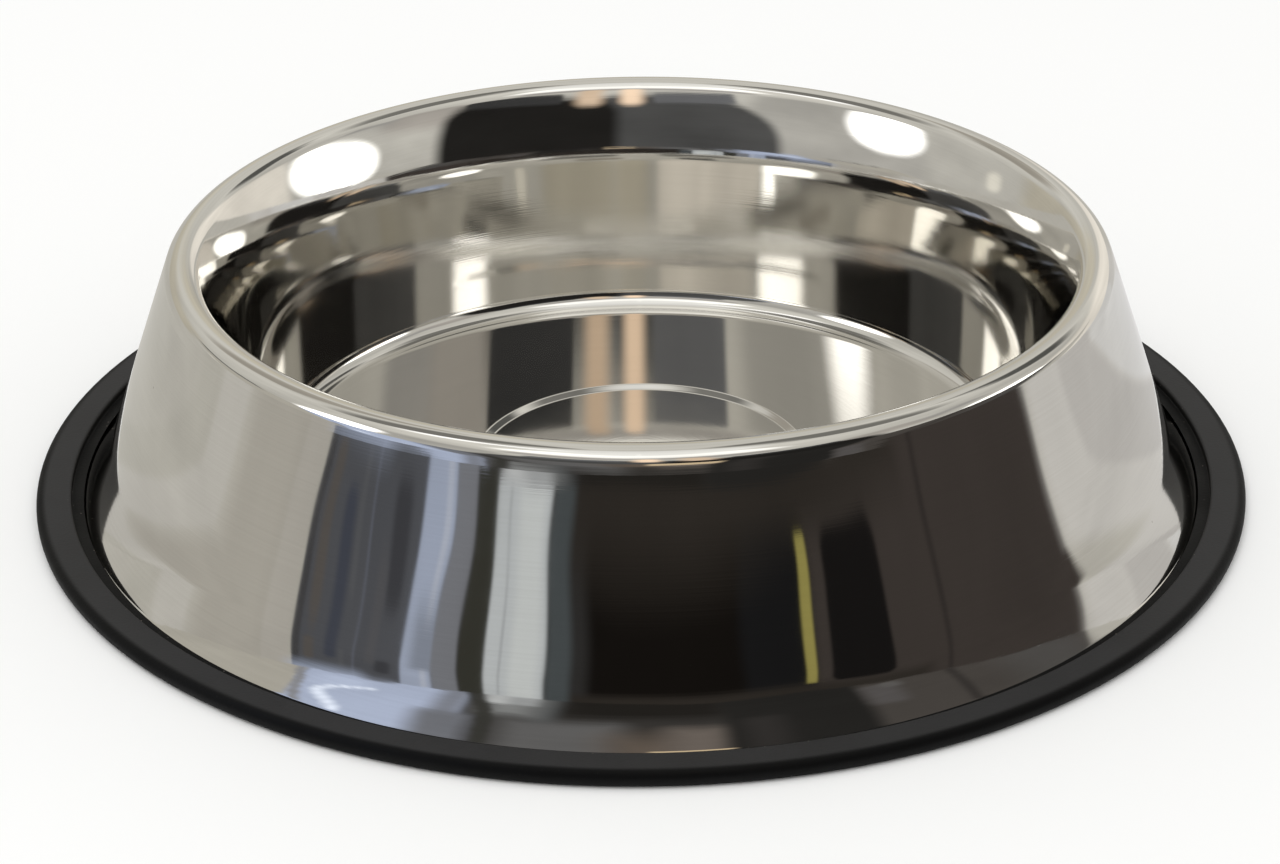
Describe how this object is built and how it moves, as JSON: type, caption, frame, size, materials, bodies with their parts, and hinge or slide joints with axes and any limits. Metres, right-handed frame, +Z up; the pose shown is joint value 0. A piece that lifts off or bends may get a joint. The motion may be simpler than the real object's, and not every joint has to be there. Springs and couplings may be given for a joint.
{
  "type": "dog bowl",
  "caption": "Round stainless steel dog bowl with a rolled rim, a tapered inner wall and a wide conical skirt, standing on a black non-slip rubber ring gripped round its foot.",
  "frame": {"origin": "centre of the rubber ring's footprint on the ground", "axes": "+Z up along the bowl's own axis; X and Y are any two level directions, as the bowl is a body of revolution"},
  "size_m": [0.28, 0.28, 0.0584],
  "materials": {
    "steel": "mirror polished, with faint lines round the axis",
    "rubber": "matt black, moulded"
  },
  "bodies": {
    "root": {"bowl_shell": "steel", "rubber_ring": "rubber"}
  },
  "joints": []
}
